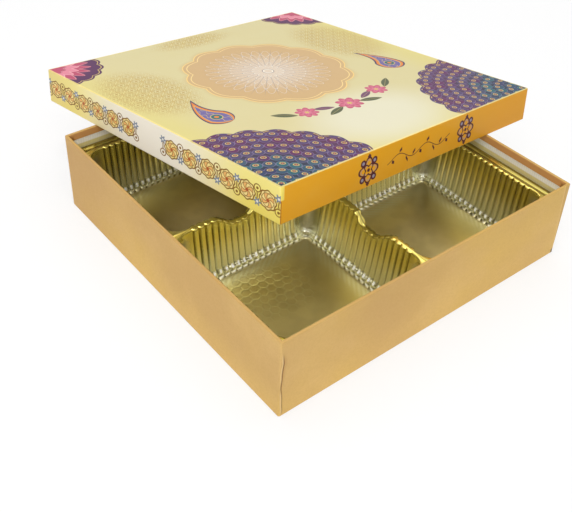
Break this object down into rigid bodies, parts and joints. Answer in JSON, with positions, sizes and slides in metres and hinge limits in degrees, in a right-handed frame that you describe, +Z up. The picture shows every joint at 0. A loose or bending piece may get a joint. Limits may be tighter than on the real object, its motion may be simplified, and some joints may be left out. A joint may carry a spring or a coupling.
{
  "type": "sweet box",
  "caption": "Square paper-covered board sweet box with a vacuum-formed compartment insert and a shallow telescoping lid lying askew on top.",
  "frame": {"origin": "middle of the base's underside", "axes": "+Z up, X and Y along the base's sides; the corner at -X, -Y is the near one, and the lid lies off towards +X, +Y"},
  "size_m": [0.2737, 0.3064, 0.1012],
  "materials": {
    "board": "matt",
    "base_paper": "matt",
    "printed_paper": "satin",
    "tape_paper": "matt",
    "gold_sheet": "metallised gloss"
  },
  "bodies": {
    "base": {"base_board": "board", "base_wrap": "base_paper", "base_corner_tape_right_back": "tape_paper", "base_corner_tape_left_back": "tape_paper", "base_corner_tape_left_front": "tape_paper", "base_corner_tape_right_front": "tape_paper"},
    "insert": {"insert_tray": "gold_sheet"},
    "lid": {"lid_board": "board", "lid_wrap": "printed_paper", "lid_corner_tape_right_back": "tape_paper", "lid_corner_tape_left_back": "tape_paper", "lid_corner_tape_left_front": "tape_paper", "lid_corner_tape_right_front": "tape_paper"}
  },
  "joints": [
    {"name": "insert_lift", "type": "slide", "parent": "base", "child": "insert", "axis": [0, 0, 1], "range_m": [0, 0.08]},
    {"name": "lid_lift", "type": "slide", "parent": "insert", "child": "lid", "axis": [0, 0, 1], "range_m": [0, 0.12]}
  ]
}
